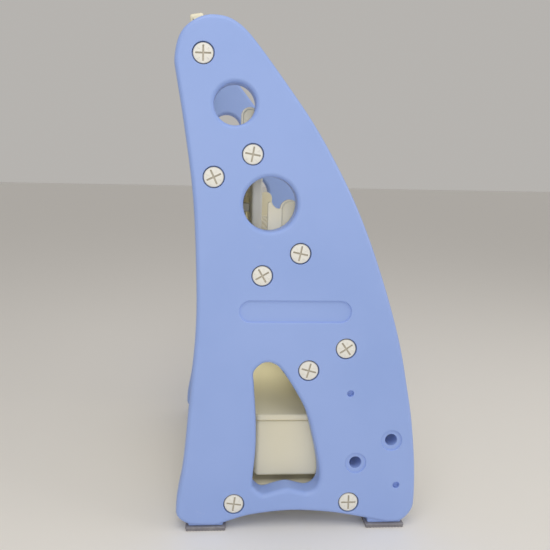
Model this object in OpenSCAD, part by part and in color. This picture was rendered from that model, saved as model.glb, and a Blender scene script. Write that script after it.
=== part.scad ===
// Folding toddler slide: two moulded side panels, three steps and a platform
// between them, a base board, a head hoop, and a two-part chute that folds
// flat behind the steps. Rest pose: chute stowed. Units are millimetres.
// X points to the climbing side, Y across the width, Z up from the floor.

/* [Frame] */
// outside width across both side panels
frame_width = 540;        // [480:10:640]
// thickness of one side panel
panel_thick = 40;         // [34:1:50]
// wall of the hollow side panel
panel_wall = 3.5;         // [2.5:0.5:5]
// height of the crown of the side panels
crown_height = 982;       // [960:2:1010]
// how far the heel and toe reach each side of the centre
foot_reach = 241.5;       // [225:0.5:260]
// height of the arch between heel and toe
arch_height = 37;         // [30:1:44]

/* [Holes and window] */
// radius of the upper round hole
upper_hole_r = 38.5;      // [30:0.5:42]
// radius of the lower round hole
lower_hole_r = 51;        // [40:0.5:53]
// length of the recessed bar
recess_length = 215;      // [150:5:230]
// height of the recessed bar
recess_height = 42;       // [30:1:46]
// depth of the recessed bar
recess_depth = 3.5;       // [2:0.5:6]
// height of the top of the window
window_top = 337;         // [325:1:345]
// height of the bottom of the window
window_bottom = 78;       // [76:1:90]

/* [Stairs] */
// rise from one step to the next
step_rise = 184;          // [170:1:188]
// run from one step to the next
step_run = 94;            // [86:1:96]
// wall of the step mouldings
step_wall = 5;            // [4:0.5:7]
// thickness of the riser boards
riser_thick = 21;         // [12:0.5:22]
// how far the end cheeks stand above the tread
cheek_rise = 66;          // [56:1:68]

/* [Screws] */
// radius of the screw head
head_r = 18.9;            // [16:0.1:20]
// thickness of the screw head
head_thick = 8;           // [6:0.5:9]
// radius of the screw shank
shank_r = 8;              // [6:0.5:8.5]
// outer radius of the threaded socket
socket_r = 13;            // [11:0.5:14]
// length of the threaded socket
socket_length = 46;       // [36:1:56]
// radius of the recess around each head
recess_r = 20.6;          // [20.1:0.1:21.5]
// depth of the recess around each head
seat_depth = 9;           // [9:0.5:12]
// radius of the two open accessory holes
open_hole_r = 11.8;       // [8:0.2:12]
// depth of the recess around each open hole
open_seat_depth = 3;      // [2:0.5:9]
// radius of the two dimples
dimple_r = 7;             // [4:0.5:8]
// depth of the two dimples
dimple_depth = 8;         // [3:0.5:12]

/* [Head hoop] */
// thickness of the hoop, front to back
hoop_thick = 26;          // [23:0.5:30]
// width of each leg of the hoop
hoop_leg = 40;            // [36:1:48]
// height of the top bar of the hoop
hoop_bar = 36;            // [28:1:44]
// how far the hoop rises above its screws
hoop_rise = 82;           // [74:1:90]
// extra rise of the hoop at mid width
hoop_arch = 10;           // [4:1:16]
// how far the hoop leans back, in degrees
hoop_lean = 10.2;         // [0:0.2:12]
// length of the threaded sockets in the hoop
head_socket_length = 30;  // [24:1:32]

/* [Chute] */
// thickness of each pivot ear of the platform
ear_thick = 26;           // [20:1:30]
// wall of the chute mouldings
chute_wall = 6;           // [4:0.5:7]
// height of the rails of the upper chute
upper_rail = 55;          // [50:1:56]
// height of the rails of the lower chute
lower_rail = 46;          // [36:1:46]
// pivot to fold axis
upper_length = 589;       // [540:1:592]
// how far the folded tip stays below the pivot
tip_margin = 34;          // [30:1:60]
// radius of the fold pins
pin_r = 6;                // [5:0.5:7]

/* [Foot pads] */
// thickness of the anti-slip pads
pad_thick = 8;            // [6:0.5:9]
// length of the heel pad
heel_pad = 79;            // [70:1:90]
// length of the toe pad
toe_pad = 77;             // [70:1:88]

/* [Hidden] */

base_x0 = -140;                               // base board
base_x1 = 128;
base_low = 28;
base_top = 70;
pivot_v = 31;                                 // pivot and fold axis above the sliding surface
fold_v = 25;
fit = 0.05;                                   // running fit, radial
gap = 0.3;                                    // air between neighbouring mouldings
side_out = frame_width / 2;
side_in = side_out - panel_thick;
foot_top = pad_thick + 12;                    // foot blocks end inside the panel
panel_base = pad_thick + 1.5;
heel_x = -foot_reach + 68.4;                  // middle of the heel pad
toe_x = foot_reach - 58.7;

// screw axes: each step has an upper front screw and a lower rear one
step_front = [92.4, 364.9];                   // front screw of the middle step
pair_offset = [-71.6, -43];                   // front screw to rear screw
tread_lift = 34;                              // front screw to tread top
function front_screw(i) = step_front + i * [-step_run, step_rise];
function rear_screw(i) = front_screw(i) + pair_offset;
head_screw = [-foot_reach + 52.1, crown_height - 69];
base_screws_at = [[base_x0 + 21.2, base_low + 26], [base_x1 - 19.9, base_low + 26]];
open_holes_at = [front_screw(-1) + [2.9, -0.3], rear_screw(-1) + [4.6, -2.6]];
dimples_at = [front_screw(-1) + [-82.3, 95.5], [foot_reach - 39.3, 88.6]];
upper_hole_at = front_screw(2) + [-34.4, 91.1];
lower_hole_at = front_screw(1) + [-59, 92.1];
recess_at = [-7.5, 437.5];

// smooth closed curve through a ring of points
function curve(p, a, b, c, t) = 0.5 * (2 * a + (b - p) * t
  + (2 * p - 5 * a + 4 * b - c) * t * t + (3 * a - p - 3 * b + c) * t * t * t);
function ring(pts, n) = [for (i = [0 : len(pts) - 1], k = [0 : n - 1])
  curve(pts[(i + len(pts) - 1) % len(pts)], pts[i], pts[(i + 1) % len(pts)],
    pts[(i + 2) % len(pts)], k / n)];
// the same ring moved inward by d (outward when d is negative), points anticlockwise
function unit(v) = v / norm(v);
function shrink(pts, d) = let (m = len(pts)) [for (i = [0 : m - 1])
  let (t = unit(pts[(i + 1) % m] - pts[(i + m - 1) % m])) pts[i] + d * [-t[1], t[0]]];

// side panel outline, anticlockwise from the heel: each point is a place on the edge
h = crown_height;
f = foot_reach;
outline = ring([
  [-f + 12, 30], [-f + 32, panel_base + 4], [-f + 62, panel_base], [-f + 90, panel_base],  // heel
  [-f + 107, 15],
  [-86, 29], [-8, arch_height], [70, 32], [128, 22],                          // arch
  [f - 61.5, panel_base + 1], [f - 36, panel_base], [f - 20, panel_base + 6], [f - 5, 33],  // toe
  [f, 58], [f - 2, 130], [f - 12, 220], [f - 25, 291], [f - 40, 363],            // front edge
  [f - 60, 434], [f - 84, 506], [f - 111.5, 579], [f - 143.5, 651], [f - 182, h - 259],
  [f - 226.5, h - 187], [f - 279.5, h - 115], [f - 324.5, h - 57], [f - 352.5, h - 25],
  [f - 375.5, h - 8], [-f + 84.5, h - 0.5], [-f + 55.5, h - 1],                           // crown
  [-f + 27, h - 15], [-f + 8, h - 39], [-f, h - 78], [-f + 4, h - 110],
  [-f + 18, h - 193], [-f + 37, h - 334], [-f + 45, h - 500],                     // back edge
  [-f + 44, 385], [-f + 35, 270], [-f + 24, 140], [-f + 14, 80], [-f + 11, 55]], 4);
// window outline: a fin with a low wave along its sill, anticlockwise
wt = window_top;
wb = window_bottom;
window = ring([
  [-83, wb + 18], [-78, wb + 5], [-62, wb - 6], [-38, wb], [-14, wb + 5], [8, wb],
  [25, wb - 3], [38, wb + 2], [46, wb + 13], [49, wb + 28], [46, wb + 56], [35, wb + 106],
  [19, wt - 98], [-6, wt - 52], [-32, wt - 14], [-46, wt - 3], [-59, wt], [-73, wt - 5],
  [-85, wt - 20], [-84, wt - 45], [-79, wt - 110], [-78, wt - 172]], 4);

// lay a drawing of X and Z across the width, from y0 for the length w
module across(y0, w) {
  translate([0, y0 + w, 0]) rotate([90, 0, 0]) linear_extrude(w) children();
}
module round_across(at, r, y0, w, n = 48) {
  translate([at[0], y0 + w, at[1]]) rotate([90, 0, 0]) cylinder(h = w, r = r, $fn = n);
}
module bar_shape(l, b) {
  square([l - b, b], center = true);
  for (s = [-1, 1]) translate([s * (l - b) / 2, 0]) circle(d = b, $fn = 48);
}
all_screws_at = concat([head_screw], base_screws_at,
  [for (i = [0 : 2]) front_screw(i)], [for (i = [0 : 2]) rear_screw(i)]);

// ---- side panels: one-piece hollow mouldings, closed all round
module panel_outside() { polygon(outline); }
module panel_cavity() {
  difference() {
    polygon(shrink(outline, panel_wall));
    translate([-300, 0]) square([600, foot_top + 34]);
    for (p = all_screws_at) translate(p) circle(r = recess_r + panel_wall, $fn = 32);
    for (p = open_holes_at) translate(p) circle(r = recess_r + panel_wall, $fn = 32);
    for (p = dimples_at) translate(p) circle(r = dimple_r + panel_wall, $fn = 24);
    translate(upper_hole_at) circle(r = upper_hole_r + panel_wall, $fn = 48);
    translate(lower_hole_at) circle(r = lower_hole_r + panel_wall, $fn = 48);
    polygon(shrink(window, -panel_wall));
    translate(recess_at) bar_shape(recess_length + 6, recess_height + 6);
  }
}
module side_panel() {                         // near side; the far one is its mirror image
  color([0.63, 0.72, 0.94]) difference() {
    union() {
      across(-side_out, panel_thick) panel_outside();
      for (x = [heel_x, toe_x]) translate([x - 34, -side_out + 4, pad_thick])
        cube([68, panel_thick - 8, foot_top]);
    }
    across(-side_out + panel_wall, panel_thick - 2 * panel_wall) panel_cavity();
    across(-side_out - 1, panel_thick + 2) polygon(window);
    round_across(upper_hole_at, upper_hole_r, -side_out - 1, panel_thick + 2, 96);
    round_across(lower_hole_at, lower_hole_r, -side_out - 1, panel_thick + 2, 96);
    across(-side_out - 1, recess_depth + 1) translate(recess_at)
      bar_shape(recess_length, recess_height);
    for (p = all_screws_at) {
      round_across(p, recess_r, -side_out - 1, seat_depth + 1);
      round_across(p, shank_r + fit, -side_out - 1, panel_thick + 2);
    }
    for (p = open_holes_at) {
      round_across(p, recess_r, -side_out - 1, open_seat_depth + 1);
      round_across(p, open_hole_r, -side_out - 1, panel_thick + 2);
    }
    for (p = dimples_at) round_across(p, dimple_r, -side_out - 1, dimple_depth + 1);
    for (p = pad_pegs) translate([p, -side_out + panel_thick / 2, pad_thick - 1])
      cylinder(h = peg_height + 2, r = peg_r + fit, $fn = 32);
  }
}
module near_panel() { side_panel(); }
module far_panel() { mirror([0, 1, 0]) side_panel(); }

// ---- anti-slip pads, one under each foot, each with two pegs
peg_r = 4;
peg_height = 14;
pad_pegs = [heel_x - 22, heel_x + 26, toe_x - 25, toe_x + 25];
module foot_pads() {
  color([0.64, 0.62, 0.65]) for (s = [-1, 1]) {
    y = s * (side_out - panel_thick / 2);
    for (k = [[heel_x, heel_pad], [toe_x, toe_pad]]) translate([k[0] - k[1] / 2, y - panel_thick / 2, 0])
      cube([k[1], panel_thick, pad_thick]);
    for (p = pad_pegs) translate([p, y, pad_thick - 1])
      cylinder(h = peg_height + 1, r = peg_r, $fn = 32);
  }
}

// ---- head hoop: a grab bar like an upside-down U that leans back a little
hoop_low = 58;                                // below the screw axis
module head_hoop() {
  inner = side_in - gap;
  arch_r = (inner * inner + hoop_arch * hoop_arch) / (2 * hoop_arch);
  color([0.94, 0.93, 0.88]) difference() {
    translate([head_screw[0], 0, head_screw[1]]) rotate([0, -hoop_lean, 0]) intersection() {
      translate([-hoop_thick / 2, 0, 0]) rotate([90, 0, 90]) linear_extrude(hoop_thick)
        difference() {
          hoop_outside(inner);
          hoop_inside(inner - hoop_leg, hoop_rise - hoop_bar);
        }
      translate([-40, 0, hoop_rise + hoop_arch - arch_r]) rotate([0, 90, 0])
        cylinder(h = 80, r = arch_r, $fn = 360);
    }
    for (s = [-1, 1]) round_across(head_screw, head_socket_r + fit,
      s > 0 ? inner - head_socket_length : -inner - 1, head_socket_length + 1);
  }
}
module hoop_outside(w) {                      // rounded where each leg ends
  translate([-w, -hoop_low + 10]) square([2 * w, 200]);
  for (s = [-1, 1]) {
    translate([s * (w - hoop_leg / 2), -hoop_low + 10]) square([hoop_leg - 20, 20], center = true);
    for (k = [10, hoop_leg - 10]) translate([s * (w - k), -hoop_low + 10])
      circle(r = 10, $fn = 48);
  }
}
module hoop_inside(w, top) {
  r = 46;
  translate([-w, -hoop_low - 20]) square([2 * w, top - r + hoop_low + 20]);
  translate([-w + r, 0]) square([2 * w - 2 * r, top]);
  for (s = [-1, 1]) translate([s * (w - r), top - r]) circle(r = r, $fn = 96);
}
head_socket_r = shank_r + 1.8;

// ---- steps: hollow mouldings open below, with an end cheek at each panel
step_depth = 141;
nose = 48;
body_low = -69;
module step_profile(wall, rear) {             // measured from the front screw
  difference() {
    union() {
      polygon([[rear, tread_lift], [nose - 12, tread_lift], [nose, tread_lift - 12],
        [nose, -8], [nose - 10, -26], [-34, body_low], [rear, body_low]]);
      translate([nose - 12, tread_lift - 12]) circle(r = 12, $fn = 48);
    }
    if (wall > 0) union() {
      polygon([[rear + wall, tread_lift - wall], [nose - 12, tread_lift - wall],
        [nose - wall, tread_lift - 12], [nose - wall, -90], [rear + wall, -90]]);
      translate([nose - 12, tread_lift - 12]) circle(r = 12 - wall, $fn = 48);
    }
  }
}
module cheek_profile(rear) {                  // a small and a broad hump with a notch between
  step_profile(0, rear);
  top = tread_lift + cheek_rise;
  polygon([[-59.5, tread_lift - 1], [1.5, tread_lift - 1], [1.5, top - 18.5], [-35.5, top - 18.5],
    [-43.5, top - 17], [-51, top - 9.5], [-59.5, top - 9.5]]);
  translate([-17, top - 18.5]) circle(r = 18.5, $fn = 64);
  translate([-55, top - 9.5]) circle(r = 4.5, $fn = 48);
}
module cheek_hollow() {                       // leaves a rim round the broad hump
  top = tread_lift + cheek_rise;
  translate([-17, top - 18.5]) circle(r = 14.5, $fn = 64);
  translate([-31.5, tread_lift + 6]) square([29, cheek_rise - 24.5]);
}
module platform_hump(r) {                     // the platform's cheek has one hump
  top = tread_lift + cheek_rise - 9;
  translate([-4, top - 16.5]) circle(r = r, $fn = 64);
  translate([-4 - r, tread_lift + 15 - r]) square([2 * r, top - tread_lift - 31.5 + r]);
}
boss_r = socket_r + 5;
module step_shell(rear) {
  inner = side_in - gap;
  across(-inner, 2 * inner) step_profile(step_wall, rear);
  for (s = [-1, 1]) across(s > 0 ? inner - 8 : -inner, 8) difference() {
    cheek_profile(rear);
    cheek_hollow();
  }
  for (s = [-1, 1]) across(s > 0 ? inner - 8 : -inner + 4, 4) cheek_profile(rear);
}
module step_ribs(rear) {
  for (y = [-110, 0, 110]) across(y - 2, 4)
    intersection() {
      step_profile(0, rear);
      translate([rear, -30]) square([200, 100]);
    }
}
module screw_bosses(i, both = true) {         // round bosses inside both ends
  inner = side_in - gap;
  for (s = [-1, 1], p = both ? [front_screw(i), rear_screw(i)] : [front_screw(i)])
    round_across(p, boss_r, s > 0 ? inner - socket_length - 4 : -inner, socket_length + 4);
}
module socket_bores(i, both = true) {
  inner = side_in - gap;
  for (s = [-1, 1], p = both ? [front_screw(i), rear_screw(i)] : [front_screw(i)])
    round_across(p, socket_r + fit, s > 0 ? inner - socket_length : -inner - 1, socket_length + 1);
}
module stair(i) {
  at = front_screw(i);
  color([0.94, 0.93, 0.88]) difference() {
    union() {
      translate([at[0], 0, at[1]]) { step_shell(rear_of_step); step_ribs(rear_of_step); }
      screw_bosses(i);
    }
    socket_bores(i);
    riser_pocket(i);
  }
}
rear_of_step = nose - step_depth;
module upper_step() { stair(1); }
module middle_step() { stair(0); }

// ---- riser boards: stand in a pocket at the back of the step below
riser_x = -86;                                // back face, from the front screw of the step
riser_half = side_in - 58;
module riser_pocket(i) {
  at = front_screw(i);
  translate([at[0] + riser_x - gap, -riser_half - gap, at[1] + tread_lift - step_wall - 1])
    cube([riser_thick + 2 * gap, 2 * riser_half + 2 * gap, step_wall + 2]);
}
module riser(i, bottom) {                     // i is the step below
  at = front_screw(i);
  top = at[1] + step_rise - 30;
  color([0.95, 0.94, 0.90]) translate([at[0] + riser_x, -riser_half, bottom])
    cube([riser_thick, 2 * riser_half, top - bottom]);
}
module upper_riser() {
  difference() {
    riser(1, front_screw(1)[1] + tread_lift - step_wall + gap);
    for (y = buffer_at) translate([buffer_x - 1, y, buffer_z]) rotate([0, 90, 0])
      cylinder(h = riser_thick + 2, r = 3 + fit, $fn = 32);
  }
}
module middle_riser() { riser(0, front_screw(0)[1] + tread_lift - step_wall + gap); }
module lower_riser() { riser(-1, lower_top + gap); }

// ---- platform: deck with a rolled lip over the chute, and ears for the pivot
lip_x = rear_screw(2)[0] + pivot_v + chute_wall + 3.2;   // clear of the stowed bed
lip_r = 46;
platform_low = -38;                           // below the front screw
module platform() {
  at = front_screw(2);
  piv = rear_screw(2);
  inner = side_in - gap;
  top = at[1] + tread_lift;
  low = at[1] + platform_low;
  color([0.94, 0.93, 0.88]) difference() {
    union() {
      // deck, rolled lip and nose
      across(-inner, 2 * inner) difference() {
        platform_profile(0);
        platform_profile(step_wall);
      }
      for (y = [-110, 0, 110]) across(y - 2, 4) intersection() {
        platform_profile(0);
        translate([lip_x, top - 40]) square([200, 60]);
      }
      // cheeks and pivot ears
      for (s = [-1, 1]) {
        across(s > 0 ? inner - 8 : -inner, 8) {
          platform_profile(0);
          translate(at) difference() {
            platform_hump(16.5);
            platform_hump(12.5);
          }
        }
        across(s > 0 ? inner - 8 : -inner + 4, 4) translate(at) platform_hump(16.5);
        across(s > 0 ? inner - ear_thick : -inner, ear_thick) {
          translate(piv) circle(r = 22, $fn = 64);
          polygon([piv + [0, -22], [lip_x + 20, low], [lip_x + 20, top - 24],
            [lip_x + 2, top - 40], piv + [-4, 21]]);
        }
      }
      for (s = [-1, 1]) round_across(at, boss_r,
        s > 0 ? inner - socket_length - 4 : -inner, socket_length + 4);
    }
    socket_bores(2, false);
    for (s = [-1, 1]) round_across(piv, shank_r + fit,
      s > 0 ? inner - ear_thick - 1 : -inner - 1, ear_thick + 2);
  }
}
module platform_profile(wall) {
  at = front_screw(2);
  top = at[1] + tread_lift;
  low = at[1] + platform_low;
  n = at[0] + nose;
  if (wall == 0) {
    polygon([[lip_x + lip_r, top], [n - 12, top], [n, top - 12], [n, at[1] - 8],
      [n - 10, at[1] - 26], [lip_x + 30, low], [lip_x, low], [lip_x, top - lip_r]]);
    translate([n - 12, top - 12]) circle(r = 12, $fn = 48);
    intersection() {
      translate([lip_x + lip_r, top - lip_r]) circle(r = lip_r, $fn = 96);
      translate([lip_x, top - lip_r]) square(lip_r);
    }
  } else {
    polygon([[lip_x + lip_r, top - wall], [n - 12, top - wall], [n - wall, top - 12],
      [n - wall, low - 20], [lip_x + wall, low - 20], [lip_x + wall, top - lip_r]]);
    intersection() {
      translate([lip_x + lip_r, top - lip_r]) circle(r = lip_r - wall, $fn = 96);
      translate([lip_x, top - lip_r]) square(lip_r);
    }
  }
}

// ---- lower step: a deep box that stands on the base board
lower_top = front_screw(-1)[1] + tread_lift;
lower_low = 86;
lower_x0 = -76;
lower_x1 = 205;
lower_half = side_in - 5;
post_at = [[-40, -150], [-40, 150], [95, -150], [95, 150]];
module lower_step() {
  w = step_wall;
  color([0.94, 0.93, 0.88]) difference() {
    union() {
      difference() {
        rounded_box([lower_x0, -lower_half, lower_low],
          [lower_x1 - lower_x0, 2 * lower_half, lower_top - lower_low], 10);
        rounded_box([lower_x0 + w, -lower_half + w, lower_low - 20],
          [lower_x1 - lower_x0 - 2 * w, 2 * lower_half - 2 * w,
          lower_top - lower_low + 20 - w], 5);
      }
      difference() {                          // rim round the top edge
        rounded_box([lower_x0 - 2, -lower_half - 3, lower_top - 13],
          [lower_x1 - lower_x0 + 4, 2 * lower_half + 6, 13], 12);
        rounded_box([lower_x0 + 2, -lower_half + 2, lower_top - 14],
          [lower_x1 - lower_x0 - 4, 2 * lower_half - 4, 15], 8);
      }
      for (p = post_at) translate([p[0], p[1], base_top])
        cylinder(h = lower_top - base_top - w / 2, r = 12, $fn = 48);
      for (y = [-75, 75]) translate([lower_x0 + 2, y - 2, lower_top - 60])
        cube([lower_x1 - lower_x0 - 4, 4, 58]);
    }
    for (p = post_at) translate([p[0], p[1], base_top - 1])
      cylinder(h = 41, r = 4 + fit, $fn = 32);
  }
}
module rounded_box(at, size, r) {             // upright edges rounded
  translate(at) linear_extrude(size[2]) {
    translate([r, 0]) square([size[0] - 2 * r, size[1]]);
    translate([0, r]) square([size[0], size[1] - 2 * r]);
    for (x = [r, size[0] - r], y = [r, size[1] - r]) translate([x, y]) circle(r = r, $fn = 48);
  }
}

// ---- base board: ties the two panels together near the floor
module base_board() {
  inner = side_in - gap;
  w = step_wall;
  color([0.94, 0.93, 0.88]) difference() {
    union() {
      difference() {
        translate([base_x0, -inner, base_low]) cube([base_x1 - base_x0, 2 * inner, base_top - base_low]);
        translate([base_x0 + w, -inner + 8, base_low - 1])
          cube([base_x1 - base_x0 - 2 * w, 2 * inner - 16, base_top - base_low + 1 - w]);
      }
      for (y = [-150, 0, 150]) translate([base_x0 + 2, y - 16, base_low])
        cube([base_x1 - base_x0 - 4, 32, base_top - base_low - 2]);
      for (s = [-1, 1], p = base_screws_at)
        translate([p[0] - boss_r, s > 0 ? inner - socket_length - 4 : -inner, base_low])
          cube([2 * boss_r, socket_length + 4, base_top - base_low - 1]);
    }
    for (s = [-1, 1], p = base_screws_at) round_across(p, base_socket_r + fit,
      s > 0 ? inner - socket_length : -inner - 1, socket_length + 1);
    for (p = post_at) translate([p[0], p[1], base_low - 1]) {
      cylinder(h = 60, r = 4 + fit, $fn = 32);
      cylinder(h = 7, r = 8, $fn = 32);
    }
  }
}
base_socket_r = shank_r + 3;
module lower_step_screws() {
  color([0.75, 0.76, 0.78]) for (p = post_at) translate([p[0], p[1], base_low + 1]) {
    cylinder(h = 4.8, r = 7, $fn = 32);
    difference() {
      cylinder(h = 76, r = 4, $fn = 32);
      translate([0, 0, -1]) cylinder(h = 4, r = 2.5, $fn = 6);
    }
  }
}

// ---- big cross-slot screws and their threaded sockets
module big_screw(at, s, tip) {                // tip is how far from the centre it ends
  y = side_out - seat_depth;
  color([0.95, 0.94, 0.90]) mirror([0, s > 0 ? 0 : 1, 0]) difference() {
    union() {
      round_across(at, head_r, y + 0.1, head_thick, 64);
      round_across(at, shank_r, tip, y + 1 - tip, 48);
    }
    for (a = [0, 90]) translate([at[0], y + head_thick + 1.1, at[1]]) rotate([0, a + 8, 0])
      cube([2 * head_r - 7, 5, 2.4], center = true);
  }
}
module socket(at, s, r, l = socket_length) {  // closed at the inner end
  inner = side_in - gap;
  color([0.95, 0.94, 0.90]) mirror([0, s > 0 ? 0 : 1, 0]) difference() {
    round_across(at, r, inner - l + 0.2, l - 0.6, 48);
    round_across(at, shank_r + fit, inner - l + 4, l, 48);
  }
}
screw_tip = side_in - socket_length + 9;
module step_screws() {
  for (s = [-1, 1]) {
    for (i = [0 : 2]) big_screw(front_screw(i), s, screw_tip);
    for (i = [0 : 1]) big_screw(rear_screw(i), s, screw_tip);
  }
}
module step_sockets() {
  for (s = [-1, 1]) {
    for (i = [0 : 2]) socket(front_screw(i), s, socket_r);
    for (i = [0 : 1]) socket(rear_screw(i), s, socket_r);
  }
}
module head_screws() {
  for (s = [-1, 1]) big_screw(head_screw, s, side_in - head_socket_length + 6);
}
module head_sockets() {
  for (s = [-1, 1]) socket(head_screw, s, head_socket_r, head_socket_length);
}
module base_screws() { for (s = [-1, 1], p = base_screws_at) big_screw(p, s, screw_tip); }
module base_sockets() { for (s = [-1, 1], p = base_screws_at) socket(p, s, base_socket_r); }
module pivot_screws() { for (s = [-1, 1]) big_screw(rear_screw(2), s, pivot_tip); }

// ---- chute: two nested channels. u runs down the chute from the pivot, v rises
// from the sliding surface towards the rails. Stowed, u points down and v back.
chute_half = side_in - gap - ear_thick - 0.7;   // clear of the ears
lower_half_w = chute_half - chute_wall - 1;      // the lower part nests inside the rails
lower_length = upper_length - tip_margin;
pivot_tip = chute_half - chute_wall - 9;
pivot_boss_r = shank_r + 7;
surface_x = rear_screw(2)[0] + pivot_v;
fold_z = rear_screw(2)[1] - upper_length;
fold_x = surface_x - fold_v;
lower_surface_x = fold_x - fold_v;
module upper_chute() {
  piv = rear_screw(2);
  top = piv[1] + 11;
  color([0.93, 0.92, 0.86]) difference() {
    union() {
      // sliding bed
      translate([surface_x, -chute_half, fold_z + 3]) cube([chute_wall, 2 * chute_half, top - fold_z - 3]);
      // rails with rounded ends at the pivot and the fold
      for (s = [-1, 1]) across(s > 0 ? chute_half - chute_wall : -chute_half, chute_wall) {
        translate([surface_x - upper_rail, fold_z + 3])
          square([upper_rail + chute_wall, piv[1] - fold_z - 3]);
        intersection() {
          translate(piv) circle(r = 34, $fn = 96);
          translate([surface_x - upper_rail, piv[1] - 40]) square([upper_rail + chute_wall, 51]);
        }
        translate([fold_x, fold_z]) circle(r = 22, $fn = 64);
      }
      // pivot bosses inside the rails
      for (s = [-1, 1]) round_across(piv, pivot_boss_r,
        s > 0 ? pivot_tip : -chute_half + chute_wall - 1, 10);
      // stiffening ribs behind the bed
      for (y = [-120, -40, 40, 120]) translate([surface_x + chute_wall - 1, y - 2.5, fold_z + 40])
        cube([9, 5, piv[1] - fold_z - 100]);
      for (z = [40, 200, 360]) translate([surface_x + chute_wall - 1, -120, fold_z + z])
        cube([9, 240, 5]);
    }
    for (s = [-1, 1]) {
      round_across(piv, shank_r + fit, s > 0 ? pivot_tip - 1 : -chute_half - 1, chute_wall + 12);
      round_across([fold_x, fold_z], pin_r, s > 0 ? chute_half - chute_wall - 1 : -chute_half - 1,
        chute_wall + 2);
    }
  }
}
module lower_chute() {
  tip = fold_z + lower_length;
  x = lower_surface_x;
  color([0.93, 0.92, 0.86]) difference() {
    union() {
      translate([x - chute_wall, -lower_half_w, fold_z + 3])
        cube([chute_wall, 2 * lower_half_w, lower_length - 3]);
      for (s = [-1, 1]) across(s > 0 ? lower_half_w - chute_wall : -lower_half_w, chute_wall) {
        translate([x - chute_wall, fold_z + 3]) square([lower_rail + chute_wall, lower_length - 43]);
        // rail runs down to the tip in a rounded corner
        intersection() {
          translate([x - chute_wall, tip - 42]) square([lower_rail + chute_wall, 42]);
          translate([x - chute_wall, tip - 46]) circle(r = 46, $fn = 96);
        }
        translate([fold_x, fold_z]) circle(r = 21, $fn = 64);
      }
    }
    for (s = [-1, 1]) round_across([fold_x, fold_z], pin_r + fit,
      s > 0 ? lower_half_w - chute_wall - 1 : -lower_half_w - 1, chute_wall + 2);
    // the tip strip grips the last part of the bed from outside
    translate([x - chute_wall - 1, -lower_half_w - 1, tip - 26])
      cube([3, 2 * lower_half_w + 2, 30]);
  }
}
module tip_strip() {
  tip = fold_z + lower_length;
  color([0.64, 0.62, 0.65]) translate([lower_surface_x - chute_wall - 2, -lower_half_w + 10, tip - 25.8])
    cube([4, 2 * lower_half_w - 20, 25.8]);
}
module fold_pins() {
  color([0.75, 0.76, 0.78]) for (s = [-1, 1]) mirror([0, s > 0 ? 0 : 1, 0]) {
    round_across([fold_x, fold_z], pin_r, lower_half_w - chute_wall - 2,
      chute_half - lower_half_w + chute_wall + 3, 48);
    round_across([fold_x, fold_z], pin_r + 4, chute_half + 0.2, 3, 48);
  }
}

// ---- buffers on the back of the upper riser, where the stowed chute comes to rest
buffer_x = front_screw(1)[0] + riser_x;
buffer_z = front_screw(1)[1] + 76;
buffer_at = [-100, 100];
module stow_buffers() {
  l = buffer_x - surface_x - chute_wall;
  color([0.96, 0.95, 0.92]) for (y = buffer_at) difference() {
    translate([buffer_x - l + 0.2, y - 9.5, buffer_z - 9.5]) cube([l - 0.4, 19, 19]);
    translate([buffer_x - 20, y, buffer_z]) rotate([0, 90, 0]) cylinder(h = 30, r = 3 + fit, $fn = 32);
  }
}
module buffer_screws() {
  color([0.75, 0.76, 0.78]) for (y = buffer_at) translate([0, y, buffer_z]) rotate([0, 90, 0]) {
    translate([0, 0, buffer_x - 16]) cylinder(h = 17 + riser_thick, r = 3, $fn = 32);
    translate([0, 0, buffer_x + riser_thick + 0.05]) cylinder(h = 3, r = 6, $fn = 32);
  }
}

near_panel();
far_panel();
foot_pads();
head_hoop();
platform();
upper_step();
middle_step();
lower_step();
base_board();
upper_riser();
middle_riser();
lower_riser();
step_screws();
head_screws();
base_screws();
pivot_screws();
step_sockets();
head_sockets();
base_sockets();
lower_step_screws();
upper_chute();
lower_chute();
fold_pins();
tip_strip();
stow_buffers();
buffer_screws();
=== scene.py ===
from math import radians, pi, sin, cos
import bpy
import bmesh
from mathutils import Matrix, Vector


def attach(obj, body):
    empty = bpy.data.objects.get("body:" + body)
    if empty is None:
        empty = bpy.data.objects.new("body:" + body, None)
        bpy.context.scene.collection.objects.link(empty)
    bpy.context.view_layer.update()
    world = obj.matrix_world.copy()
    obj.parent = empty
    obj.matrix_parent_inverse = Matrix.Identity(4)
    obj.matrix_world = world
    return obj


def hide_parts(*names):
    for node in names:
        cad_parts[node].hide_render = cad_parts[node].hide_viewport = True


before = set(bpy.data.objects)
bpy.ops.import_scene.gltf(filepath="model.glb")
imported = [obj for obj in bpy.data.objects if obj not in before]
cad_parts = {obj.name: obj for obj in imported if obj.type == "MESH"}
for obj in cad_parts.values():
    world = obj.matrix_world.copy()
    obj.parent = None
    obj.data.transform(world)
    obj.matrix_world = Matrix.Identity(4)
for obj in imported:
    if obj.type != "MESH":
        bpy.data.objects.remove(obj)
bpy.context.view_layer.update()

# ---- Camera, light and floor.
# The near side panel seen square on, from a little below the upper screws,
# in a pale room with soft lights overhead, in front and on the climbing side.
cam_data = bpy.data.cameras.new("camera")
cam_data.lens = 34.04
cam_data.sensor_width = 36.0
cam_data.shift_x = 0.0636
cam_data.shift_y = -0.100
cam_data.clip_start = 0.05
camera = bpy.data.objects.new("camera", cam_data)
bpy.context.collection.objects.link(camera)
camera.matrix_world = (Matrix.Translation((-0.1725, -1.231, 0.695))
                       @ Matrix.Rotation(radians(-3.29), 4, "Z")
                       @ Matrix.Rotation(radians(90 - 4.97), 4, "X")
                       @ Matrix.Rotation(radians(1.10), 4, "Z"))
bpy.context.scene.camera = camera


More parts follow.
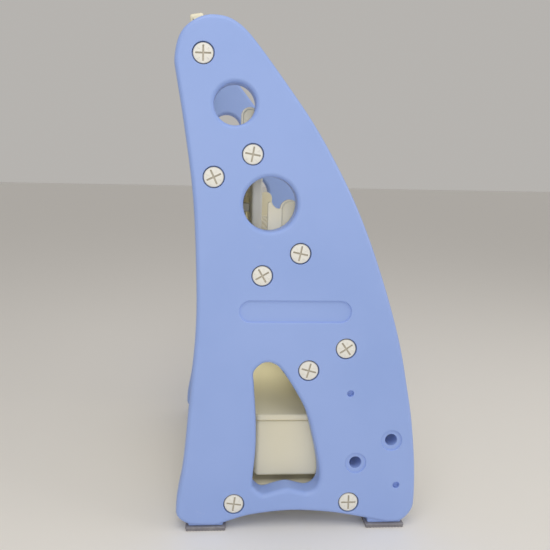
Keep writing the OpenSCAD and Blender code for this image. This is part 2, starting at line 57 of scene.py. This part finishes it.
def soft_light(name, place, aim, size, watts, colour):
    """A square area light that points at aim."""
    data = bpy.data.lights.new(name, "AREA")
    data.shape = "SQUARE"
    data.size = size
    data.energy = watts
    data.color = colour
    lamp = bpy.data.objects.new(name, data)
    bpy.context.collection.objects.link(lamp)
    lamp.location = place
    lamp.visible_camera = False
    lamp.rotation_euler = (Vector(aim) - Vector(place)).to_track_quat("-Z", "Y").to_euler()


soft_light("overhead", (-0.3, -1.2, 2.4), (-0.05, 0, 0.7), 1.4, 17, (1.0, 0.985, 0.96))
soft_light("fill", (-0.3, -2.3, 0.85), (0, 0, 0.3), 0.8, 9.5, (1.0, 0.985, 0.94))
soft_light("climbing_side", (2.4, -0.9, 1.4), (0, 0, 0.25), 1.6, 14, (1.0, 0.98, 0.93))
# the thin cream mouldings let daylight through, which two small hidden lights stand for
soft_light("glow_over_lowest_step", (-0.045, 0.02, 0.37), (-0.045, 0, 0.2), 0.08, 0.16,
           (1.0, 0.95, 0.72))
soft_light("glow_behind_riser", (-0.105, -0.02, 0.56), (-0.105, -0.02, 0.7), 0.02, 0.02,
           (1.0, 0.93, 0.66))
world = bpy.data.worlds.new("room")
world.use_nodes = True
world.node_tree.nodes["Background"].inputs["Color"].default_value = (0.90, 0.87, 0.83, 1)
world.node_tree.nodes["Background"].inputs["Strength"].default_value = 0.52
bpy.context.scene.world = world
bpy.context.scene.view_settings.view_transform = "Standard"


class Wire:
    """One shader socket that adds up like a number."""

    def __init__(self, finish, socket):
        self.finish = finish
        self.socket = socket

    def sum(self, operation, first, second):
        return self.finish.node("ShaderNodeMath", {"operation": operation}, {0: first, 1: second})

    def __add__(self, other):
        return self.sum("ADD", self, other)

    def __radd__(self, other):
        return self.sum("ADD", other, self)

    def __sub__(self, other):
        return self.sum("SUBTRACT", self, other)

    def __rsub__(self, other):
        return self.sum("SUBTRACT", other, self)

    def __mul__(self, other):
        return self.sum("MULTIPLY", self, other)

    def __rmul__(self, other):
        return self.sum("MULTIPLY", other, self)

    def __truediv__(self, other):
        return self.sum("DIVIDE", self, other)


class Finish:
    """A material with a Principled surface, built node by node."""

    def __init__(self, name, **surface):
        self.material = bpy.data.materials.new(name)
        self.material.use_nodes = True
        self.tree = self.material.node_tree
        self.surface = self.tree.nodes["Principled BSDF"]
        for socket, value in surface.items():
            self.surface.inputs[socket.replace("_", " ")].default_value = value

    def node(self, kind, settings=None, sockets=None, out=0):
        made = self.tree.nodes.new(kind)
        for key, value in (settings or {}).items():
            setattr(made, key, value)
        for key, value in (sockets or {}).items():
            if isinstance(value, Wire):
                self.tree.links.new(value.socket, made.inputs[key])
            else:
                made.inputs[key].default_value = value
        return Wire(self, made.outputs[out])

    def place(self):
        """Object coordinates, in metres."""
        return self.node("ShaderNodeTexCoord", out="Object")

    def noise(self, where, scale, detail=2.0, rough=0.5):
        return self.node("ShaderNodeTexNoise", {},
                         {"Vector": where, "Scale": scale, "Detail": detail, "Roughness": rough})

    def fade(self, value, low, high):
        """0 below low, 1 above high, smooth between."""
        return self.node("ShaderNodeMapRange", {"interpolation_type": "SMOOTHSTEP"},
                         {"Value": value, "From Min": low, "From Max": high})

    def mix(self, amount, first, second):
        return self.node("ShaderNodeMix", {"data_type": "RGBA"},
                         {"Factor": amount, "A": first, "B": second}, out=2)

    def feed(self, **sockets):
        for key, value in sockets.items():
            self.tree.links.new(value.socket, self.surface.inputs[key.replace("_", " ")])

    def bump(self, height, distance, strength=1.0):
        self.feed(Normal=self.node("ShaderNodeBump", {},
                                   {"Height": height, "Distance": distance, "Strength": strength}))


floor_finish = Finish("floor_paint", Base_Color=(0.86, 0.84, 0.81, 1), Roughness=0.55)
bm = bmesh.new()
bmesh.ops.create_grid(bm, x_segments=1, y_segments=1, size=30)
floor_mesh = bpy.data.meshes.new("floor")
bm.to_mesh(floor_mesh)
bm.free()
floor = bpy.data.objects.new("floor", floor_mesh)
floor_mesh.materials.append(floor_finish.material)
bpy.context.collection.objects.link(floor)

# ---- Side panels.
# Two blow-moulded hollow panels of coloured polyethylene, 40 mm thick, with
# rolled edges, a fin-shaped window, two round holes and stepped screw holes.
half_width = 0.270
panel_depth = 0.040
edge_roll = 0.0085

panel_blue = Finish("panel_blue", Roughness=0.42, Specular_IOR_Level=0.42)
where = panel_blue.place()
cloudy = panel_blue.noise(where, 5.0, 3.0)
grain = panel_blue.noise(where, 420.0, 4.0, 0.6)
pits = panel_blue.noise(where, 1500.0, 2.0)
height = panel_blue.node("ShaderNodeSeparateXYZ", {}, {"Vector": where}, out="Z")
scuffs = panel_blue.fade(panel_blue.noise(where, 38.0, 6.0, 0.75), 0.62, 0.74)
low_down = 1.0 - panel_blue.fade(height, 0.0, 0.16)
blue = panel_blue.mix(panel_blue.fade(cloudy, 0.3, 0.7),
                      (0.285, 0.405, 0.780, 1), (0.310, 0.430, 0.810, 1))
blue = panel_blue.mix(scuffs * (0.10 + 0.25 * low_down), blue, (0.47, 0.55, 0.80, 1))
panel_blue.feed(Base_Color=blue,
                Roughness=0.36 + 0.10 * cloudy + 0.08 * grain + 0.12 * scuffs)
panel_blue.bump(grain * 0.7 + pits * 0.3, 0.00008, 0.55)


def welded_copy(node):
    """A CAD node's mesh with its loose triangles joined."""
    made = bmesh.new()
    made.from_mesh(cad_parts[node].data)
    bmesh.ops.remove_doubles(made, verts=made.verts, dist=3e-6)
    return made


def face_rings(made, y):
    """The closed rings of corners where the flat face at y ends."""
    ends = {}
    for edge in made.edges:
        if len(edge.link_faces) == 2 and edge.calc_face_angle(0) > radians(35) \
                and all(abs(v.co.y - y) < 1e-4 for v in edge.verts):
            for v in edge.verts:
                ends.setdefault(v, []).append(edge)
    rings = []
    while ends:
        start = here = next(iter(ends))
        ring = []
        while here in ends:
            edges = ends.pop(here)
            ring.append((here.co.x, here.co.z))
            here = next((e.other_vert(here) for e in edges if e.other_vert(here) in ends), start)
        rings.append(ring)
    return rings


def flat_curve(name, rings, depth, roll):
    """A plate with rolled edges, filled between rings of X and Z, centred on Y 0."""
    data = bpy.data.curves.new(name, "CURVE")
    data.dimensions = "2D"
    data.fill_mode = "BOTH"
    data.extrude = depth / 2 - roll
    data.bevel_depth = roll
    data.bevel_resolution = 5
    data.offset = -roll
    for ring in rings:
        spline = data.splines.new("POLY")
        spline.points.add(len(ring) - 1)
        for point, (x, z) in zip(spline.points, ring):
            point.co = (x, z, 0, 1)
        spline.use_cyclic_u = True
    shown = bpy.data.objects.new(name, data)
    bpy.context.collection.objects.link(shown)
    mesh = bpy.data.meshes.new_from_object(shown.evaluated_get(
        bpy.context.evaluated_depsgraph_get()))
    bpy.data.objects.remove(shown)
    made = bmesh.new()
    made.from_mesh(mesh)
    bpy.data.meshes.remove(mesh)
    bmesh.ops.rotate(made, verts=made.verts, cent=(0, 0, 0), matrix=Matrix.Rotation(pi / 2, 3, "X"))
    bmesh.ops.remove_doubles(made, verts=made.verts, dist=1e-6)
    bmesh.ops.recalc_face_normals(made, faces=made.faces)
    return made


def block(made, size, at, roll=0.0, segments=3, turn=None):
    """Adds a block with rounded edges, centred at a place."""
    part = bmesh.new()
    bmesh.ops.create_cube(part, size=1, matrix=Matrix.Diagonal((*size, 1)))
    if roll:
        bmesh.ops.bevel(part, geom=part.edges[:], offset=roll, segments=segments, profile=0.5,
                        affect="EDGES", clamp_overlap=True, material=-1)
    bmesh.ops.transform(part, verts=part.verts,
                        matrix=Matrix.Translation(at) @ (turn or Matrix.Identity(4)))
    merge(made, part)


def merge(made, part, matrix=None):
    """Adds another bmesh to this one, placed by a matrix, and frees it."""
    mesh = bpy.data.meshes.new("part")
    part.to_mesh(mesh)
    part.free()
    if matrix is not None:
        mesh.transform(matrix)
        if matrix.determinant() < 0:
            mesh.flip_normals()
    made.from_mesh(mesh)
    bpy.data.meshes.remove(mesh)


def shape(made, name):
    """Turns a bmesh into an object."""
    mesh = bpy.data.meshes.new(name)
    made.to_mesh(mesh)
    made.free()
    shown = bpy.data.objects.new(name, mesh)
    bpy.context.collection.objects.link(shown)
    return shown


def cut(shown, made, operation="DIFFERENCE"):
    """Cuts a bmesh out of an object, or adds it, and keeps the result."""
    tool = shape(made, "tool")
    step = shown.modifiers.new("cut", "BOOLEAN")
    step.operation = operation
    step.solver = "EXACT"
    step.object = tool
    settle(shown)
    bpy.data.objects.remove(tool)


def settle(shown):
    """Applies an object's modifiers."""
    mesh = bpy.data.meshes.new_from_object(shown.evaluated_get(
        bpy.context.evaluated_depsgraph_get()))
    shown.modifiers.clear()
    old = shown.data
    shown.data = mesh
    bpy.data.meshes.remove(old)


def soften(shown, width, segments):
    """Rounds an object's sharp edges and evens the shading of its flats."""
    roll = shown.modifiers.new("soft_edges", "BEVEL")
    roll.width = width
    roll.segments = segments
    roll.limit_method = "ANGLE"
    roll.angle_limit = radians(40)
    roll.use_clamp_overlap = False
    roll.miter_outer = "MITER_ARC"
    even_shading(shown)


def even_shading(shown):
    """Makes flat faces shade as flat beside their rounded edges."""
    shading = shown.modifiers.new("even_shading", "WEIGHTED_NORMAL")
    shading.keep_sharp = True
    shading.weight = 80


def show(shown, finish, slot, *nodes, body="frame"):
    """Gives an object its finish, hangs it on the empty of the body it rides on, and hides the CAD
    nodes it stands for.
    """
    shown.data.materials.clear()
    shown.data.materials.append(finish.material)
    shown.data.shade_smooth()
    shown.data.set_sharp_from_angle(angle=radians(34))
    if nodes:
        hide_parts(*nodes)
    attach(shown, body)
    return shown


def sunk(made, steps, lip, at, side, stretch=0.0):
    """Adds a cutter for a round recess, each step a radius and a depth, with rounded lips.

    It can be drawn out along X into a bar."""
    profile = [(0.0, -0.004), (steps[0][0] + lip, -0.004)]
    top = 0.0
    for radius, bottom in steps:
        profile += [(radius + lip * (1 - sin(t * pi / 8)), top + lip * (1 - cos(t * pi / 8)))
                    for t in range(5)]
        profile += [(radius, bottom - 0.0004), (radius - 0.0004, bottom)]
        top = bottom
    profile.append((0.0, top))
    part = bmesh.new()
    rim = [part.verts.new((r * sin(pi / 64), -side * d, r * cos(pi / 64))) for r, d in profile]
    edges = [part.edges.new(pair) for pair in zip(rim, rim[1:])]
    bmesh.ops.spin(part, geom=rim + edges, cent=(0, 0, 0), axis=(0, 1, 0), angle=2 * pi,
                   steps=64, use_merge=True)
    bmesh.ops.remove_doubles(part, verts=part.verts, dist=1e-6)
    for v in part.verts:
        if stretch and abs(v.co.x) > 1e-4:
            v.co.x += stretch if v.co.x > 0 else -stretch
    bmesh.ops.recalc_face_normals(part, faces=part.faces)
    merge(made, part, Matrix.Translation(at))


# centres of the stepped holes and the turn of the screw in each, none where it is open
screw_places = {(-0.1894, 0.913): 0, (-0.0956, 0.7329): 10, (-0.1672, 0.6899): -25,
                (-0.0016, 0.5489): 12, (-0.0732, 0.5059): -30, (0.0924, 0.3649): -35,
                (0.0208, 0.3219): 15, (-0.1188, 0.054): 8, (0.1081, 0.054): 0,
                (0.1893, 0.1806): None, (0.1194, 0.1353): None}
dimples = [(0.1041, 0.2764), (0.2022, 0.0886)]
seat_radius = 0.0206
seat_depth = 0.009
open_seat_depth = 0.003
screw_bore = 0.0081
open_bore = 0.0118
bore_end = 0.05         # past the inner face, so the bore goes right through
# middle of each foot along X, and the length of its pad
heel, toe = (-0.1731, 0.079), (0.1828, 0.077)
bar_place, bar_radius, bar_depth, bar_stretch = (-0.0075, 0.4375), 0.021, 0.0035, 0.0865
dimple_radius, dimple_depth = 0.0066, 0.0080

for side, node in ((-1, "near_panel"), (1, "far_panel")):
    outer = side * half_width
    middle = side * (half_width - panel_depth / 2)
    source = welded_copy(node)
    rings = face_rings(source, outer)
    source.free()
    # the outline, the window and the two big holes are the rings over 70 mm high that
    # are not the recessed bar
    through = [ring for ring in rings
               if max(z for x, z in ring) - min(z for x, z in ring) > 0.070]
    plate = flat_curve("plate", through, panel_depth, edge_roll)
    bmesh.ops.translate(plate, verts=plate.verts, vec=(0, middle, 0))
    panel = shape(plate, node.replace("_panel", "_side"))

    feet = bmesh.new()
    for x, pad_length in (heel, toe):
        block(feet, (0.068, panel_depth - 0.008, 0.022), (x, middle, 0.0191), 0.003)
    cut(panel, feet, "UNION")

    holes = bmesh.new()
    for (x, z), turn in screw_places.items():
        steps = [(seat_radius, seat_depth), (screw_bore, bore_end)]
        if turn is None:
            steps = [(seat_radius, open_seat_depth), (open_bore, bore_end)]
        sunk(holes, steps, 0.0012, (x, outer, z), side)
    sunk(holes, [(bar_radius, bar_depth)], 0.0016, (bar_place[0], outer, bar_place[1]), side,
         bar_stretch)
    for x, z in dimples:
        sunk(holes, [(dimple_radius, dimple_depth)], 0.0012, (x, outer, z), side)
    cut(panel, holes)
    even_shading(panel)
    show(panel, panel_blue, "panel_blue", node)

    # the thin line left where the two halves of the mould met
    outline = max(through, key=lambda ring: max(z for x, z in ring))
    data = bpy.data.curves.new("line", "CURVE")
    data.dimensions = "3D"
    data.bevel_depth = 0.00055
    data.bevel_resolution = 1
    spline = data.splines.new("POLY")
    spline.points.add(len(outline) - 1)
    for point, (x, z) in zip(spline.points, outline):
        point.co = (x, middle, z, 1)
    spline.use_cyclic_u = True
    tube = bpy.data.objects.new("line", data)
    bpy.context.collection.objects.link(tube)
    mesh = bpy.data.meshes.new_from_object(tube.evaluated_get(
        bpy.context.evaluated_depsgraph_get()))
    bpy.data.objects.remove(tube)
    seam = bpy.data.objects.new(node.replace("_panel", "_mould_line"), mesh)
    bpy.context.collection.objects.link(seam)
    show(seam, panel_blue, "panel_blue")

# ---- Anti-slip pads.
# Four soft rubber blocks pegged under the feet, a little wider than the feet
# and ribbed underneath and along their sides.
rubber = Finish("grey_rubber", Roughness=0.78, Specular_IOR_Level=0.35)
where = rubber.place()
dust = rubber.fade(rubber.noise(where, 60.0, 5.0, 0.7), 0.45, 0.7)
rubber.feed(Base_Color=rubber.mix(dust * 0.5, (0.235, 0.225, 0.250, 1), (0.36, 0.35, 0.36, 1)),
            Roughness=0.72 + 0.14 * dust)
rubber.bump(rubber.noise(where, 900.0, 3.0), 0.0001, 0.6)
pads = bmesh.new()
for side in (-1, 1):
    for x, length in (heel, toe):
        y = side * (half_width - panel_depth / 2)
        block(pads, (length, panel_depth, 0.0036), (x, y, 0.0062), 0.0012)
        block(pads, (length - 0.002, panel_depth - 0.002, 0.0046), (x, y, 0.0024), 0.0004)
        ribs = int(length / 0.006)
        for k in range(ribs):
            block(pads, (0.0030, panel_depth - 0.0005, 0.0040),
                  (x - length / 2 + 0.004 + k * (length - 0.008) / (ribs - 1), y, 0.0020), 0.0005, 1)
show(shape(pads, "anti_slip_pads"), rubber, "pad_grey", "foot_pads")

# ---- Base board, lowest step, steps, platform and head hoop.
# Cream polyethylene mouldings, open below, held by screws through the panels;
# their edges are soft from the mould.
cream = Finish("cream_plastic", Roughness=0.45, Specular_IOR_Level=0.4)
where = cream.place()
cloudy = cream.noise(where, 6.0, 3.0)
grain = cream.noise(where, 500.0, 4.0, 0.6)
scuffs = cream.fade(cream.noise(where, 45.0, 6.0, 0.75), 0.63, 0.76)
tint = cream.mix(cream.fade(cloudy, 0.3, 0.7), (0.78, 0.73, 0.55, 1), (0.82, 0.77, 0.60, 1))
tint = cream.mix(scuffs * 0.12, tint, (0.62, 0.57, 0.45, 1))
cream.feed(Base_Color=tint, Roughness=0.36 + 0.14 * cloudy + 0.08 * grain + 0.1 * scuffs)
cream.bump(grain, 0.00008, 0.5)


def moulded(node, name, width, segments=3, finish=cream, slot="cream", body="frame"):
    """A CAD node's shape with the soft edges of a moulding."""
    made = welded_copy(node)
    bmesh.ops.dissolve_limit(made, angle_limit=radians(0.4), verts=made.verts, edges=made.edges)
    shown = shape(made, name)
    soften(shown, width, segments)
    return show(shown, finish, slot, node, body=body)


moulded("base_board", "base", 0.003)
moulded("lower_step", "lowest_step", 0.0035)
moulded("middle_step", "step_two", 0.0015)
moulded("upper_step", "step_three", 0.0015)
moulded("platform", "deck", 0.0015)
moulded("head_hoop", "hoop", 0.005, 4)

# low ridges across each tread, moulded in to keep small feet from slipping:
# where the first one stands, the tread's height and how many there are
ridge_pitch = 0.013
for name, start, z, rows in (("lowest_step", 0.130, 0.2151, 5), ("step_two", 0.034, 0.3991, 5),
                             ("step_three", -0.060, 0.5831, 5), ("deck", -0.082, 0.7671, 3)):
    ridges = bmesh.new()
    for k in range(rows):
        block(ridges, (0.0040, 0.330, 0.0026), (start + ridge_pitch * k, 0, z), 0.0012, 3)
    show(shape(ridges, name + "_ridges"), cream, "cream")

# ---- Riser boards and buffers.
# White hollow boards that stand in pockets of the treads, and two small white
# blocks screwed to the back of the upper one.
white = Finish("riser_white", Roughness=0.42, Specular_IOR_Level=0.4)
where = white.place()
cloudy = white.noise(where, 6.0, 3.0)
grain = white.noise(where, 520.0, 4.0, 0.6)
white.feed(Base_Color=white.mix(white.fade(cloudy, 0.3, 0.7), (0.80, 0.79, 0.73, 1),
                                (0.84, 0.83, 0.77, 1)),
           Roughness=0.36 + 0.12 * cloudy + 0.08 * grain)
white.bump(grain, 0.00008, 0.5)
for node in ("upper_riser", "middle_riser", "lower_riser"):
    moulded(node, node + "_board", 0.004, 4, white, "riser_white")
moulded("stow_buffers", "buffers", 0.003, 3, white, "riser_white")

# ---- Large screws.
# Cream nylon screws with a slightly domed head and a cross slot, turned in by
# hand, each sunk in its stepped hole; their sockets sit inside the mouldings.
nylon = Finish("screw_nylon", Roughness=0.5, Specular_IOR_Level=0.42)
where = nylon.place()
grain = nylon.noise(where, 700.0, 4.0, 0.6)
grime = nylon.fade(nylon.noise(where, 160.0, 5.0, 0.7), 0.5, 0.75)
depth = nylon.node("ShaderNodeMath", {"operation": "ABSOLUTE"},
                   {0: nylon.node("ShaderNodeSeparateXYZ", {}, {"Vector": where}, out="Y")})
# painted shade: every surface more than about 1.4 mm below the panel's face, the floors and walls of
# each cross slot, is darkened towards brown
painted_slot_shade = 1.0 - nylon.fade(depth, half_width - 0.0030, half_width - 0.0014)
tint = nylon.mix(grime * 0.25, (0.80, 0.79, 0.74, 1), (0.62, 0.59, 0.50, 1))
nylon.feed(Base_Color=nylon.mix(painted_slot_shade * 0.75, tint, (0.42, 0.37, 0.28, 1)),
           Roughness=0.42 + 0.14 * grain + 0.1 * grime)
nylon.bump(grain, 0.00006, 0.5)
head_radius = 0.0189
head_sunk = 0.0008      # how far the head's face lies below the panel's
shank_radius = 0.0079


def screw_head():
    """One head, its face at Y 0 looking to -Y."""
    made = bmesh.new()
    profile = [(0.0, 0.0), (0.006, 0.0001), (0.0160, 0.0005), (0.0181, 0.0012),
               (head_radius, 0.0026), (head_radius, 0.0078), (0.0, 0.0078)]
    rim = [made.verts.new((r, y, 0)) for r, y in profile]
    edges = [made.edges.new(pair) for pair in zip(rim, rim[1:])]
    bmesh.ops.spin(made, geom=rim + edges, cent=(0, 0, 0), axis=(0, 1, 0), angle=2 * pi,
                   steps=64, use_merge=True)
    bmesh.ops.remove_doubles(made, verts=made.verts, dist=1e-6)
    bmesh.ops.recalc_face_normals(made, faces=made.faces)
    head = shape(made, "head")
    slot = bmesh.new()
    for turn in (0, pi / 2):
        block(slot, (0.0290, 0.0056, 0.0034), (0, 0, 0), 0.0007, 2, Matrix.Rotation(turn, 4, "Y"))
    cross = shape(slot, "cross")
    step = head.modifiers.new("cut", "BOOLEAN")
    step.operation = "DIFFERENCE"
    step.solver = "EXACT"
    step.use_self = True
    step.object = cross
    settle(head)
    bpy.data.objects.remove(cross)
    made = bmesh.new()
    made.from_mesh(head.data)
    bpy.data.objects.remove(head)
    # four short raised marks between the slots
    for k in range(4):
        block(made, (0.0052, 0.0014, 0.0016), (0, 0, 0), 0.0003, 1,
              Matrix.Rotation(pi / 4 + k * pi / 2, 4, "Y") @ Matrix.Translation((0.0122, 0.0001, 0)))
    return made


def rod(made, radius, length, at):
    """Adds a round rod along Y, centred at a place."""
    bmesh.ops.create_cone(made, cap_ends=True, segments=40, radius1=radius, radius2=radius,
                          depth=length,
                          matrix=Matrix.Translation(at) @ Matrix.Rotation(pi / 2, 4, "X"))


head = screw_head()
head_mesh = bpy.data.meshes.new("head")
head.to_mesh(head_mesh)
head.free()
# which of the screw places each set fills, and how far from the middle its shanks end
screw_sets = {"step_screws": [1, 3, 4, 5, 6], "head_screws": [0], "base_screws": [7, 8],
              "pivot_screws": [2]}
shank_ends = {"step_screws": 0.193, "head_screws": 0.206, "base_screws": 0.193,
              "pivot_screws": 0.188}
for node, which in screw_sets.items():
    made = bmesh.new()
    for side in (-1, 1):
        for k in which:
            (x, z), turn = list(screw_places.items())[k]
            face = half_width - head_sunk
            copy = bmesh.new()
            copy.from_mesh(head_mesh)
            merge(made, copy, Matrix.Translation((x, side * face, z))
                  @ Matrix.Diagonal((1, -side, 1, 1)) @ Matrix.Rotation(radians(turn), 4, "Y"))
            inner = shank_ends[node]
            outer_end = face - 0.0070
            rod(made, shank_radius, outer_end - inner, (x, side * (inner + outer_end) / 2, z))
    show(shape(made, node.replace("_screws", "_nylon_screws")), nylon, "screw_cream", node)
for node in ("step_sockets", "head_sockets", "base_sockets"):
    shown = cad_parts[node]
    shown.data.materials.clear()
    shown.data.materials.append(nylon.material)

# ---- Folding chute.
# Two nested channels of smooth polyethylene on screws through the platform's
# ears and on steel pins, with a rubber strip across the foot of the lower one.
slide = Finish("chute_plastic", Roughness=0.3, Specular_IOR_Level=0.45)
where = slide.place()
cloudy = slide.noise(where, 6.0, 3.0)
streaks = slide.node("ShaderNodeTexNoise", {}, {
    "Vector": slide.node("ShaderNodeMapping", {}, {"Vector": where, "Scale": (1.0, 14.0, 0.8)}),
    "Scale": 14.0, "Detail": 5.0})
wear = slide.fade(streaks, 0.55, 0.75)
tint = slide.mix(slide.fade(cloudy, 0.3, 0.7), (0.81, 0.76, 0.58, 1), (0.84, 0.79, 0.62, 1))
slide.feed(Base_Color=slide.mix(wear * 0.15, tint, (0.70, 0.66, 0.54, 1)),
           Roughness=0.24 + 0.1 * cloudy + 0.16 * wear)
slide.bump(slide.noise(where, 420.0, 3.0), 0.00005, 0.4)
moulded("upper_chute", "chute_upper", 0.0026, 3, slide, "chute_cream", "upper_section")
moulded("lower_chute", "chute_lower", 0.0026, 3, slide, "chute_cream", "lower_section")
moulded("tip_strip", "tip_rubber", 0.0012, 2, rubber, "pad_grey", "lower_section")

steel = Finish("zinc_steel", Roughness=0.35, Metallic=1.0)
where = steel.place()
spangle = steel.noise(where, 300.0, 3.0)
steel.feed(Base_Color=steel.mix(spangle, (0.52, 0.52, 0.54, 1), (0.68, 0.68, 0.69, 1)),
           Roughness=0.26 + 0.2 * spangle)
moulded("fold_pins", "chute_pins", 0.0008, 2, steel, "steel", "upper_section")
moulded("lower_step_screws", "step_fixings", 0.0006, 2, steel, "steel")
moulded("buffer_screws", "buffer_fixings", 0.0005, 2, steel, "steel")
